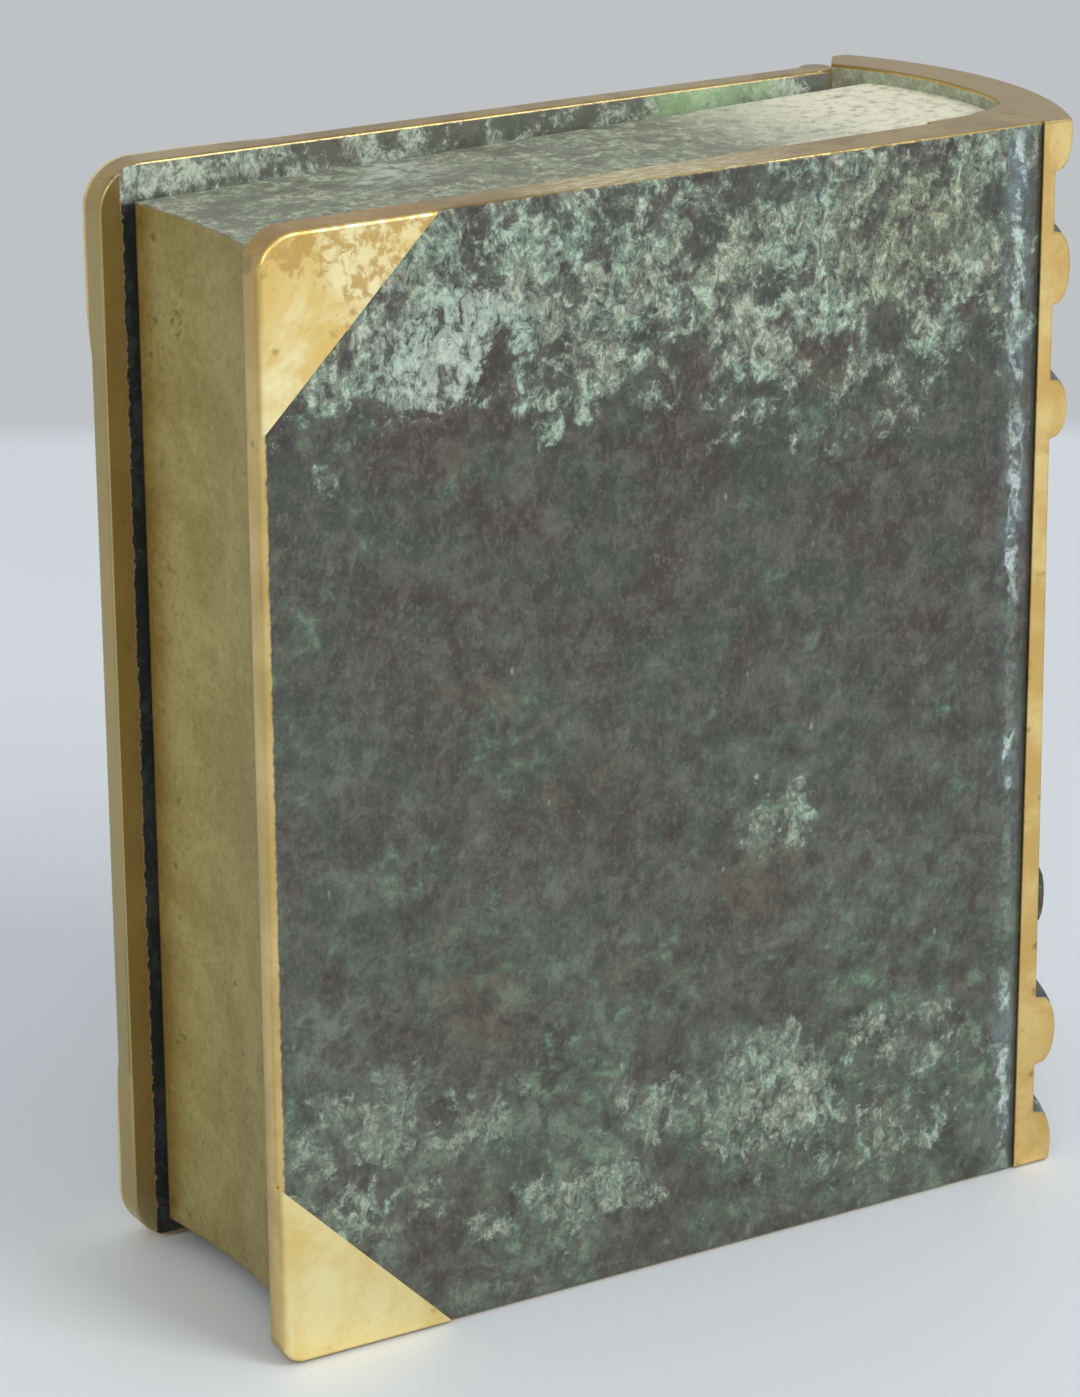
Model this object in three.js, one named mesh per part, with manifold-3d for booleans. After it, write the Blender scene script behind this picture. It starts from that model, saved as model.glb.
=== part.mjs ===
// Cast brass box in the form of a bound book, standing on its tail edge.
// Millimetres, +Z from tail to head, +X from fore-edge to spine, +Y from the back cover to the lid.
// The pieces are laid out from the fore-edge, the back cover's face and the tail, and the finished
// book is then moved so that the origin is the centre of its footprint.
import * as THREE from 'three';
import { mergeVertices } from 'three/addons/utils/BufferGeometryUtils.js';
import Module from 'manifold-3d';

const wasm = await Module();
wasm.setup();

// Height and the two covers
const HEIGHT = 140;
const COVER_WIDTH = 109;
const BACK_EDGE_THICKNESS = 4.2;
const BACK_SPINE_THICKNESS = 7.6;
const FIELD_DEPTH = 0.4;
const EDGE_BEVEL = 0.7;
const JOINT_WIDTH = 4.6;
const JOINT_DEPTH = 0.6;
const HEAD_CORNER_RADIUS = 5;
const TAIL_CORNER_RADIUS = 3;
const LID_THICKNESS = 4.2;
const LID_OUTER = 44.4;
const LID_BEVEL = 1.1;
const LID_INNER_BEVEL = 0.4;
const LID_CORNER_RADIUS = 6;

// Corner mounts, which wrap round the covers' edges
const MOUNT_LEG = 23.6;
const BACK_MOUNT_THICKNESS = 1.4;
const LID_MOUNT_THICKNESS = 2.4;
const LID_MOUNT_PROUD = 1.1;
const LID_MOUNT_LIP = 0.2;
const LID_MOUNT_RAMP = 5;
const MOUNT_WALL = 1.5;

// Page block
const LID_GAP = 1.6;
const BLOCK_SETBACK = 4.0;
const BLOCK_HEAD_SETBACK = 4.4;
const BLOCK_SPINE_SETBACK = 2;
const BLOCK_TAIL_SETBACK = 3.4;
const FORE_EDGE_HOLLOW = 1.5;
const HOLLOW_TURN = 130;
const COVE_RISE = 10.5;
const COVE_REACH = 3.1;
const BLOCK_WALL = 5;
const REAR_POCKET_WIDTH = 4;
const REAR_POCKET_ROOF = 4.6;

// Spine: a shell on one centre line, a little fuller at the tail than at the head
const STRIP_WIDTH = 2.3;
const SPINE_RADIUS = 43.1;
const SPINE_TAPER = 1.35;
const SPINE_THICKNESS = 4.8;
const SPINE_NEAR_FACE = 0.5;
const SHOULDER_PROUD = 2.6;
const SHOULDER_UNDERCUT = 1.1;
const FOOT_REACH = 12.2;
const FOOT_THICKNESS = 0.9;
const COVE_TOP = 14.2;

// Raised bands, placed from the nearer end of the spine
const BROAD_BAND = 9.4;
const NARROW_BAND = 7.6;
const END_BAND = 9;
const TAIL_BAND_AT = 2.5;
const HEAD_BAND_AT = 2;
const OUTER_BAND_AT = 18.7;
const INNER_BAND_AT = 36.8;
const BAND_PROUD = 2.4;
const FULLEST_PROUD = 2.7;
const WORN_PROUD = 1.2;
const WORN_SETBACK = 2.4;
const BAND_ROUNDNESS = 0.7;
const BAND_ROOT = 2;

// Hinge, set from the crease between the back cover and the spine
const HINGE_SETBACK = 5.6;
const PIN_RADIUS = 1;
const PIN_CLEARANCE = 0.06;
const PIN_STOP = 3;
const PIN_RECESS = 0.6;
const KNUCKLE_LENGTH = 22;
const KNUCKLE_SPREAD = 50;
const KNUCKLE_END_PLAY = 0.25;
const KNUCKLE_SIDE_PLAY = 0.3;
const KNUCKLE_WEB = 2.6;
const LEAF_THICKNESS = 1.1;
const LEAF_WIDTH = 8;
const LEAF_LENGTH = 104;
const RIVET_RADIUS = 1.3;
const RIVET_LENGTH = 5;
const RIVET_SPREAD = 92;
const RIVET_OFFSET = 1;

// Rebate plate inside the lid
const REBATE_REST = 0.3;
const REBATE_INSET = 3.4;
const REBATE_SPINE_GAP = 3;

// Fits and roundness
const SEAT = 0.01;
const ARC_STEPS = 20;
const RING_STEPS = 96;
const BAND_STEPS = 8;
const CORNER_STEPS = 6;
const BEVEL_STEPS = 3;
const ROUND_STEPS = 28;
const CUT_PAST = 1;
const MARGIN = 10;

// Places that follow from the sizes
const LID_INNER = LID_OUTER - LID_THICKNESS;
const BLOCK_RIM = LID_INNER - LID_GAP;
const SPINE_CREASE = COVER_WIDTH + SEAT;
const SPINE_CENTRE_Y = (LID_OUTER + 2 * FIELD_DEPTH) / 2;
const SPINE_CENTRE_X =
  SPINE_CREASE + STRIP_WIDTH - Math.sqrt(SPINE_RADIUS ** 2 - (SPINE_CENTRE_Y - SPINE_NEAR_FACE) ** 2);
const SPINE_INNER_RADIUS = SPINE_RADIUS - SPINE_THICKNESS;
const SPINE_SHOULDER = LID_OUTER + SHOULDER_PROUD;
const FOOT_START = SPINE_CREASE - FOOT_REACH;
const HINGE_X = SPINE_CREASE - HINGE_SETBACK;
const KNUCKLE_RADIUS = LID_THICKNESS / 2;
const HINGE_Y = LID_OUTER - KNUCKLE_RADIUS;
const MOUTH_SPINE_END = HINGE_X - LEAF_WIDTH / 2;
const REAR_POCKET_START = MOUTH_SPINE_END + BLOCK_WALL;
const KNUCKLE_MIDDLES = [(HEIGHT - KNUCKLE_SPREAD) / 2, (HEIGHT + KNUCKLE_SPREAD) / 2];
const RIVET_MIDDLES = [(HEIGHT - RIVET_SPREAD) / 2, HEIGHT / 2, (HEIGHT + RIVET_SPREAD) / 2];
const RIVET_X = HINGE_X - RIVET_OFFSET;
const LEAF_NEAR = BLOCK_RIM + SEAT;
const LEAF_FAR = LEAF_NEAR + LEAF_THICKNESS;
const LID_MOUNT_BACK = LID_OUTER + LID_MOUNT_PROUD - LID_MOUNT_THICKNESS;

const BANDS = [
  { name: 'spine_band_tail', middle: TAIL_BAND_AT, height: END_BAND, proud: BAND_PROUD },
  { name: 'spine_band_1', middle: OUTER_BAND_AT, height: BROAD_BAND, proud: FULLEST_PROUD },
  { name: 'spine_band_2', middle: INNER_BAND_AT, height: NARROW_BAND, proud: WORN_PROUD, setback: WORN_SETBACK },
  { name: 'spine_band_3', middle: HEIGHT - INNER_BAND_AT, height: NARROW_BAND, proud: BAND_PROUD },
  { name: 'spine_band_4', middle: HEIGHT - OUTER_BAND_AT, height: BROAD_BAND, proud: BAND_PROUD },
  { name: 'spine_band_head', middle: HEIGHT - HEAD_BAND_AT, height: END_BAND, proud: BAND_PROUD },
];

const brassMaterial = (colour, roughness) =>
  new THREE.MeshStandardMaterial({ color: colour, roughness, metalness: 1 });
const polished = () => brassMaterial(0xc7a45a, 0.35);
const satin = () => brassMaterial(0x8d7b4a, 0.5);
const patinated = () => new THREE.MeshStandardMaterial({ color: 0x3b453f, roughness: 0.7, metalness: 0.3 });

// A closed geometry as a solid that can be joined and cut
function solid(geometry) {
  const bare = geometry.clone();
  bare.deleteAttribute('normal');
  bare.deleteAttribute('uv');
  const merged = mergeVertices(bare, 1e-5);
  return new wasm.Manifold(new wasm.Mesh({
    numProp: 3,
    vertProperties: new Float32Array(merged.attributes.position.array),
    triVerts: new Uint32Array(merged.index.array),
  }));
}

function piece(name, body, material) {
  const { vertProperties, triVerts } = body.getMesh();
  const geometry = new THREE.BufferGeometry();
  geometry.setAttribute('position', new THREE.BufferAttribute(vertProperties, 3));
  geometry.setIndex(new THREE.BufferAttribute(triVerts, 1));
  geometry.computeVertexNormals();
  const mesh = new THREE.Mesh(geometry, material);
  mesh.name = name;
  return mesh;
}

function box(low, high) {
  const geometry = new THREE.BoxGeometry(high[0] - low[0], high[1] - low[1], high[2] - low[2]);
  geometry.translate((low[0] + high[0]) / 2, (low[1] + high[1]) / 2, (low[2] + high[2]) / 2);
  return solid(geometry);
}

function uprightRod(x, y, radius, bottom, top) {
  const geometry = new THREE.CylinderGeometry(radius, radius, top - bottom, ROUND_STEPS);
  geometry.rotateX(Math.PI / 2);
  geometry.translate(x, y, (bottom + top) / 2);
  return solid(geometry);
}

function levelRod(x, z, radius, near, far) {
  const geometry = new THREE.CylinderGeometry(radius, radius, far - near, ROUND_STEPS);
  geometry.translate(x, (near + far) / 2, z);
  return solid(geometry);
}

// An outline in X and Y, drawn from the tail up
function column(points, bottom, top) {
  const shape = new THREE.Shape(points.map(([x, y]) => new THREE.Vector2(x, y)));
  const geometry = new THREE.ExtrudeGeometry(shape, { depth: top - bottom, bevelEnabled: false });
  geometry.translate(0, 0, bottom);
  return solid(geometry);
}

// An outline in X and Z as a plate between two distances from the back cover's face
function plate(shape, near, far, bevel) {
  const geometry = new THREE.ExtrudeGeometry(shape, {
    depth: far - near - 2 * bevel,
    bevelEnabled: bevel > 0,
    bevelThickness: bevel,
    bevelSize: bevel,
    bevelOffset: -bevel,
    bevelSegments: BEVEL_STEPS,
    curveSegments: CORNER_STEPS,
  });
  geometry.rotateX(Math.PI / 2);
  geometry.translate(0, far - bevel, 0);
  return solid(geometry);
}

// A cover's outline: square at the spine, rounded at the two fore-edge corners
function coverOutline(width, headRadius, tailRadius) {
  const shape = new THREE.Shape();
  shape.moveTo(tailRadius, 0);
  shape.lineTo(width, 0);
  shape.lineTo(width, HEIGHT);
  shape.lineTo(headRadius, HEIGHT);
  shape.absarc(headRadius, HEIGHT - headRadius, headRadius, Math.PI / 2, Math.PI, false);
  shape.lineTo(0, tailRadius);
  shape.absarc(tailRadius, tailRadius, tailRadius, Math.PI, Math.PI * 1.5, false);
  return shape;
}

// The back cover's inner face, which thickens towards the spine
const backInner = (x) =>
  BACK_EDGE_THICKNESS + ((BACK_SPINE_THICKNESS - BACK_EDGE_THICKNESS) * x) / COVER_WIDTH;

// Points on a circle about the spine's centre, between two heights above the back cover's face
function spineArc(radius, fromY, toY) {
  const start = Math.asin((fromY - SPINE_CENTRE_Y) / radius);
  const end = Math.asin((toY - SPINE_CENTRE_Y) / radius);
  const points = [];
  for (let i = 0; i <= ARC_STEPS; i += 1) {
    const angle = start + ((end - start) * i) / ARC_STEPS;
    points.push([SPINE_CENTRE_X + radius * Math.cos(angle), SPINE_CENTRE_Y + radius * Math.sin(angle)]);
  }
  return points;
}

// The spine's inner line: the foot on the back cover, its cove and the hollow of the shell
function spineInner(gap, topY) {
  const arc = spineArc(SPINE_INNER_RADIUS - gap, COVE_TOP + gap, topY);
  const startX = FOOT_START - gap;
  const startY = backInner(FOOT_START) + FOOT_THICKNESS + gap;
  const [endX, endY] = arc[0];
  const cove = [];
  const steps = 4;
  for (let i = 0; i < steps; i += 1) {
    const angle = ((i / steps) * Math.PI) / 2;
    cove.push([startX + (endX - startX) * Math.sin(angle), startY + (endY - startY) * (1 - Math.cos(angle))]);
  }
  return [...cove, ...arc];
}

// The back cover's section from fore-edge to joint, with its outer face at a given distance
function coverSection(front) {
  return [
    [0, front + EDGE_BEVEL],
    [EDGE_BEVEL, front],
    [COVER_WIDTH - JOINT_WIDTH, front],
    [COVER_WIDTH - JOINT_WIDTH / 3, front + JOINT_DEPTH / 3],
    [COVER_WIDTH, front + JOINT_DEPTH],
    [COVER_WIDTH, backInner(COVER_WIDTH)],
    [EDGE_BEVEL, backInner(EDGE_BEVEL)],
    [0, backInner(0) - EDGE_BEVEL],
  ];
}

const atHead = (body) => body.mirror([0, 0, 1]).translate([0, 0, HEIGHT]);

// The core of a cover that a tail mount wraps round, between two distances from the back cover's face
const mountCore = (near, far, gap) => box(
  [MOUNT_WALL + gap, near, MOUNT_WALL + gap],
  [MOUNT_LEG + MARGIN, far, MOUNT_LEG + MARGIN],
);

// The triangle at a cover's tail corner, between two distances from the back cover's face
function cornerTriangle(leg, near, far) {
  const shape = new THREE.Shape([
    new THREE.Vector2(-MARGIN, -MARGIN),
    new THREE.Vector2(leg + MARGIN, -MARGIN),
    new THREE.Vector2(-MARGIN, leg + MARGIN),
  ]);
  return plate(shape, near, far, 0);
}

// The room that a tail mount takes out of its cover, with its clearance
const mountSeat = (near, far, core) => cornerTriangle(MOUNT_LEG + SEAT, near, far).subtract(core);

function makeBackCover() {
  const outline = coverOutline(COVER_WIDTH, HEAD_CORNER_RADIUS, TAIL_CORNER_RADIUS);
  const blank = plate(outline, FIELD_DEPTH, BACK_SPINE_THICKNESS + MARGIN, EDGE_BEVEL);
  const seat = mountSeat(-MARGIN, MARGIN, mountCore(BACK_MOUNT_THICKNESS + SEAT, 2 * MARGIN, SEAT));
  return column(coverSection(FIELD_DEPTH), -MARGIN, HEIGHT + MARGIN)
    .intersect(blank)
    .subtract(seat)
    .subtract(atHead(seat));
}

function makeBackMount(radius) {
  const outline = coverOutline(COVER_WIDTH, radius, radius);
  return plate(outline, 0, BACK_SPINE_THICKNESS + MARGIN, EDGE_BEVEL)
    .intersect(column(coverSection(0), -MARGIN, HEIGHT + MARGIN))
    .intersect(cornerTriangle(MOUNT_LEG, -MARGIN, MARGIN))
    .subtract(mountCore(BACK_MOUNT_THICKNESS, 2 * MARGIN, 0));
}

// The lid's outline runs on past the hinge, so that its edge bevels reach the hinge end
const lidOutline = () => coverOutline(HINGE_X + MARGIN, LID_CORNER_RADIUS, LID_CORNER_RADIUS);
const lidInnerHalf = () => plate(lidOutline(), LID_INNER, LID_OUTER + MARGIN, LID_INNER_BEVEL);
const lidOuterHalf = () => plate(lidOutline(), LID_INNER - MARGIN, LID_OUTER, LID_BEVEL);

// A lid mount's face stands proud and runs down a ramp to a low lip along its diagonal
function makeLidMount() {
  const fall = (LID_MOUNT_PROUD - LID_MOUNT_LIP) / LID_MOUNT_RAMP;
  const ramp = new THREE.Matrix4()
    .makeShear(-fall, 0, 0, 0, 0, -fall)
    .setPosition(0, LID_MOUNT_LIP + fall * MOUNT_LEG, 0);
  return lidOuterHalf()
    .translate([0, LID_MOUNT_PROUD, 0])
    .intersect(lidOuterHalf().transform(ramp.elements))
    .intersect(lidInnerHalf())
    .intersect(cornerTriangle(MOUNT_LEG, LID_INNER - MARGIN, LID_OUTER + MARGIN))
    .subtract(mountCore(LID_INNER - MARGIN, LID_MOUNT_BACK, 0));
}

// The fore-edge hollow and the cove that runs out onto the back cover's edge
function foreEdge() {
  const coveStart = backInner(0) + SEAT;
  const coveEnd = coveStart + COVE_RISE;
  const span = BLOCK_RIM - coveEnd;
  const hollowSteps = 10;
  const coveSteps = 5;
  const points = [];
  for (let i = 0; i <= hollowSteps; i += 1) {
    const t = i / hollowSteps;
    const depth = FORE_EDGE_HOLLOW * Math.sin(THREE.MathUtils.degToRad(HOLLOW_TURN * t));
    points.push([BLOCK_SETBACK + depth, BLOCK_RIM - span * t]);
  }
  const [fromX] = points[points.length - 1];
  for (let i = 1; i <= coveSteps; i += 1) {
    const angle = ((i / coveSteps) * Math.PI) / 2;
    const x = fromX - (COVE_REACH + fromX - BLOCK_SETBACK) * (1 - Math.cos(angle));
    points.push([x, coveEnd - COVE_RISE * Math.sin(angle)]);
  }
  return points;
}

// All that is above the page block's head, which rises towards the spine
function aboveHead() {
  const rise = (BLOCK_HEAD_SETBACK - BLOCK_SPINE_SETBACK) / COVER_WIDTH;
  const top = HEIGHT + MARGIN;
  const shape = new THREE.Shape([
    new THREE.Vector2(-MARGIN, HEIGHT - BLOCK_HEAD_SETBACK - rise * MARGIN),
    new THREE.Vector2(COVER_WIDTH + MARGIN, HEIGHT - BLOCK_SPINE_SETBACK + rise * MARGIN),
    new THREE.Vector2(COVER_WIDTH + MARGIN, top),
    new THREE.Vector2(-MARGIN, top),
  ]);
  return plate(shape, -MARGIN, BLOCK_RIM + MARGIN, 0);
}

function makePageBlock() {
  const front = foreEdge();
  const [frontX] = front[front.length - 1];
  const footX = FOOT_START - SEAT;
  const outline = [
    ...front.slice(0, -1),
    [frontX, backInner(frontX) + SEAT],
    [footX, backInner(footX) + SEAT],
    ...spineInner(SEAT, BLOCK_RIM),
  ];
  const tail = BLOCK_TAIL_SETBACK;
  const head = HEIGHT - BLOCK_HEAD_SETBACK;
  const mouth = box(
    [BLOCK_SETBACK + FORE_EDGE_HOLLOW + BLOCK_WALL, 0, tail + BLOCK_WALL],
    [MOUTH_SPINE_END, BLOCK_RIM + MARGIN, head - BLOCK_WALL],
  );
  const rearPocket = box(
    [REAR_POCKET_START, 0, tail + BLOCK_WALL],
    [REAR_POCKET_START + REAR_POCKET_WIDTH, BLOCK_RIM - REAR_POCKET_ROOF, head - BLOCK_WALL],
  );
  let block = column(outline, tail, HEIGHT).subtract(aboveHead()).subtract(mouth).subtract(rearPocket);
  const rivetFoot = BLOCK_RIM - RIVET_LENGTH;
  for (const z of RIVET_MIDDLES) {
    block = block.subtract(levelRod(RIVET_X, z, RIVET_RADIUS + SEAT, rivetFoot, BLOCK_RIM + CUT_PAST));
  }
  return block;
}

// An outline in X and Y drawn up the whole height, its outer line fuller at the tail
function spineColumn(points) {
  const shape = new THREE.Shape(points.map(([x, y]) => new THREE.Vector2(x, y)));
  const geometry = new THREE.ExtrudeGeometry(shape, { depth: HEIGHT, bevelEnabled: false });
  const place = geometry.attributes.position;
  const outside = SPINE_RADIUS - SPINE_THICKNESS / 2;
  for (let i = 0; i < place.count; i += 1) {
    const dx = place.getX(i) - SPINE_CENTRE_X;
    const dy = place.getY(i) - SPINE_CENTRE_Y;
    const radius = Math.hypot(dx, dy);
    if (radius > outside && place.getX(i) > SPINE_CREASE + SEAT) {
      const push = (SPINE_TAPER * (0.5 - place.getZ(i) / HEIGHT)) / radius;
      place.setX(i, place.getX(i) + dx * push);
    }
  }
  return solid(geometry);
}

function makeSpineShell() {
  const section = [
    [SPINE_CREASE, SPINE_NEAR_FACE],
    ...spineArc(SPINE_RADIUS, SPINE_NEAR_FACE, SPINE_SHOULDER),
    ...spineInner(0, LID_OUTER - SHOULDER_UNDERCUT).reverse(),
    [FOOT_START, backInner(FOOT_START) + SEAT],
    [SPINE_CREASE, backInner(SPINE_CREASE) + SEAT],
  ];
  return spineColumn(section);
}

// All that a band must clear, with the seat's clearance
function makeSpinePlug() {
  const swell = (SPINE_RADIUS + SEAT) / SPINE_RADIUS;
  const outer = spineArc(SPINE_RADIUS, SPINE_NEAR_FACE, SPINE_SHOULDER).map(([x, y]) => [
    SPINE_CENTRE_X + swell * (x - SPINE_CENTRE_X),
    SPINE_CENTRE_Y + swell * (y - SPINE_CENTRE_Y),
  ]);
  const [firstX] = outer[0];
  const [lastX] = outer[outer.length - 1];
  const near = SPINE_NEAR_FACE - CUT_PAST;
  const far = SPINE_SHOULDER + CUT_PAST;
  const inner = SPINE_CREASE - MARGIN;
  return spineColumn([[inner, near], [firstX, near], ...outer, [lastX, far], [inner, far]]);
}

const spinePlug = makeSpinePlug();

// A raised band: a round-backed ring about the spine's centre, cut off at its two ends
function makeBand({ middle, height, proud, setback = 0 }) {
  const back = SPINE_RADIUS - BAND_ROOT;
  const root = SPINE_RADIUS + SPINE_TAPER * (0.5 - middle / HEIGHT);
  const profile = [new THREE.Vector2(back, -height / 2)];
  for (let i = 0; i <= BAND_STEPS; i += 1) {
    const angle = (Math.PI * i) / BAND_STEPS - Math.PI / 2;
    const lift = Math.max(0, Math.cos(angle)) ** BAND_ROUNDNESS;
    profile.push(new THREE.Vector2(root + proud * lift, (height / 2) * Math.sin(angle)));
  }
  profile.push(new THREE.Vector2(back, height / 2), new THREE.Vector2(back, -height / 2));
  const ring = new THREE.LatheGeometry(profile, RING_STEPS);
  ring.rotateX(Math.PI / 2);
  ring.translate(SPINE_CENTRE_X, SPINE_CENTRE_Y, middle);
  const near = SPINE_NEAR_FACE + setback;
  const far = SPINE_CREASE + SPINE_RADIUS;
  const keep = box([SPINE_CREASE - BAND_ROOT, near, 0], [far, SPINE_SHOULDER, HEIGHT]);
  return solid(ring).intersect(keep).subtract(spinePlug);
}

function makeLid() {
  let lid = lidInnerHalf()
    .intersect(lidOuterHalf())
    .intersect(box([-MARGIN, LID_INNER - MARGIN, -MARGIN], [HINGE_X, LID_OUTER + MARGIN, HEIGHT + MARGIN]))
    .add(uprightRod(HINGE_X, HINGE_Y, KNUCKLE_RADIUS, 0, HEIGHT));
  const half = KNUCKLE_LENGTH / 2 + KNUCKLE_END_PLAY;
  const side = KNUCKLE_RADIUS + KNUCKLE_SIDE_PLAY;
  for (const z of KNUCKLE_MIDDLES) {
    lid = lid.subtract(box(
      [HINGE_X - side, LID_INNER - CUT_PAST, z - half],
      [HINGE_X + side, LID_OUTER + CUT_PAST, z + half],
    ));
  }
  const seat = mountSeat(
    LID_INNER - MARGIN,
    LID_OUTER + MARGIN,
    mountCore(LID_INNER - 2 * MARGIN, LID_MOUNT_BACK - SEAT, SEAT),
  );
  return lid
    .subtract(uprightRod(HINGE_X, HINGE_Y, PIN_RADIUS + PIN_CLEARANCE, -CUT_PAST, HEIGHT - PIN_STOP))
    .subtract(seat)
    .subtract(atHead(seat));
}

function makeHingeLeaf() {
  const middle = HEIGHT / 2;
  let leaf = box(
    [HINGE_X - LEAF_WIDTH / 2, LEAF_NEAR, middle - LEAF_LENGTH / 2],
    [HINGE_X + LEAF_WIDTH / 2, LEAF_FAR, middle + LEAF_LENGTH / 2],
  );
  for (const z of KNUCKLE_MIDDLES) {
    const low = z - KNUCKLE_LENGTH / 2;
    const high = z + KNUCKLE_LENGTH / 2;
    leaf = leaf
      .add(uprightRod(HINGE_X, HINGE_Y, KNUCKLE_RADIUS - PIN_CLEARANCE, low, high))
      .add(box([HINGE_X - KNUCKLE_WEB / 2, LEAF_NEAR, low], [HINGE_X + KNUCKLE_WEB / 2, HINGE_Y, high]));
  }
  const bore = PIN_RADIUS + PIN_CLEARANCE / 2;
  leaf = leaf.subtract(uprightRod(HINGE_X, HINGE_Y, bore, -CUT_PAST, HEIGHT + CUT_PAST));
  for (const z of RIVET_MIDDLES) {
    const hole = levelRod(RIVET_X, z, RIVET_RADIUS + SEAT, LEAF_NEAR - CUT_PAST, LEAF_FAR + CUT_PAST);
    leaf = leaf.subtract(hole);
  }
  return leaf;
}

const makeRivet = (z) => levelRod(RIVET_X, z, RIVET_RADIUS, BLOCK_RIM - RIVET_LENGTH + SEAT, LEAF_FAR);

const makePin = () => uprightRod(HINGE_X, HINGE_Y, PIN_RADIUS, PIN_RECESS, HEIGHT - PIN_STOP - PIN_RECESS);

function makeRebatePlate() {
  const tail = BLOCK_TAIL_SETBACK + REBATE_INSET;
  const head = HEIGHT - BLOCK_HEAD_SETBACK - REBATE_INSET;
  const spineEnd = MOUTH_SPINE_END - REBATE_SPINE_GAP;
  return box(
    [BLOCK_SETBACK + REBATE_INSET, BLOCK_RIM + REBATE_REST, tail],
    [spineEnd, LID_INNER - SEAT, head],
  );
}

const book = new THREE.Group();
book.add(piece('back_cover', makeBackCover(), patinated()));
book.add(piece('back_corner_tail', makeBackMount(TAIL_CORNER_RADIUS), polished()));
book.add(piece('back_corner_head', atHead(makeBackMount(HEAD_CORNER_RADIUS)), polished()));
book.add(piece('page_block', makePageBlock(), satin()));
book.add(piece('spine_shell', makeSpineShell(), satin()));
for (const band of BANDS) {
  book.add(piece(band.name, makeBand(band), polished()));
}
book.add(piece('hinge_leaf', makeHingeLeaf(), satin()));
RIVET_MIDDLES.forEach((z, i) => book.add(piece(`hinge_rivet_${i + 1}`, makeRivet(z), satin())));
book.add(piece('hinge_pin', makePin(), satin()));
book.add(piece('lid', makeLid(), patinated()));
book.add(piece('lid_corner_tail', makeLidMount(), polished()));
book.add(piece('lid_corner_head', atHead(makeLidMount()), polished()));
book.add(piece('lid_rebate_plate', makeRebatePlate(), satin()));

// The origin is the centre of the footprint, on the surface that the book stands on
const bounds = new THREE.Box3().setFromObject(book);
const middle = bounds.getCenter(new THREE.Vector3());
book.position.set(-middle.x, -middle.y, -bounds.min.z);

export default book;
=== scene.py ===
import math
import bpy
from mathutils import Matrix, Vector


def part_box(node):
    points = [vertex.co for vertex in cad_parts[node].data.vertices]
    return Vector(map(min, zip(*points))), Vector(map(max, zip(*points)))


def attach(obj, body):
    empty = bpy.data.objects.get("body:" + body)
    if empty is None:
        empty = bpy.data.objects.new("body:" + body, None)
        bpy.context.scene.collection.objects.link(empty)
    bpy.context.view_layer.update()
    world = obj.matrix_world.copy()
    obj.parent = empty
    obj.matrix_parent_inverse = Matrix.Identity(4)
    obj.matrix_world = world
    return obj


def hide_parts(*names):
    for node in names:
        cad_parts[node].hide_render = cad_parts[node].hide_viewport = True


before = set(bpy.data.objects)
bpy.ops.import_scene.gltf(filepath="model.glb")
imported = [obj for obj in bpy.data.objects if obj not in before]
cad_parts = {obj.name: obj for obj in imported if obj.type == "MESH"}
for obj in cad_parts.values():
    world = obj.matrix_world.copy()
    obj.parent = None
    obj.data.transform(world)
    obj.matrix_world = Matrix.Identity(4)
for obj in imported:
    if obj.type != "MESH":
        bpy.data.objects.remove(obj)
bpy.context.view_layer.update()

MM = 0.001
HEIGHT = 140 * MM

# Places on the book, from the solids
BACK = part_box("back_cover")
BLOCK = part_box("page_block")
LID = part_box("lid")
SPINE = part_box("spine_shell")
FORE_EDGE_X = BACK[0][0]
FIELD_Y = BACK[0][1]
CREASE_X = BACK[1][0]
BLOCK_HEAD_Z = BLOCK[1][2]
LID_INNER_Y = LID[0][1]
LID_OUTER_Y = LID[1][1]
SPINE_NEAR_Y = SPINE[0][1]
SPINE_FAR_Y = SPINE[1][1]

# The pages' head rises towards the spine by this share
HEAD_SLOPE = 0.022

# The spine's round: its axis along the book's height, its outer radius and the shell's thickness
SHELL_AXIS = (14.0 * MM, -0.9 * MM)
SHELL_RADIUS = 43.1 * MM
SHELL_THICKNESS = 4.8 * MM

# The crust along the joint leans towards the fore-edge by this share of the height
CRUST_LEAN = 0.012

# The raised bands, and how far their copies sink into the shell before they are joined
BAND_NAMES = ("tail", "1", "2", "3", "4", "head")
BAND_OVERLAP = 0.05 * MM

# How far the mounts' copies step in from the covers, and the wear of the spine's outer head edge
SEAM = 0.012 * MM
HEAD_WEAR = 0.25 * MM

# Copies are merged by these: doubled corners, flat faces, and turns that are shaded smooth
SAME_CORNER = 0.001 * MM
SAME_CORNER_CAST = 0.02 * MM
FLAT = math.radians(0.5)
FLAT_CAST = math.radians(1)
SMOOTH_TURN = math.radians(50)


def linear(red, green, blue):
    """A colour picked on a 0 to 255 screen scale, as the linear colour that a shader wants."""
    def one(value):
        value = value / 255
        return value / 12.92 if value <= 0.04045 else ((value + 0.055) / 1.055) ** 2.4
    return (one(red), one(green), one(blue), 1.0)


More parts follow.
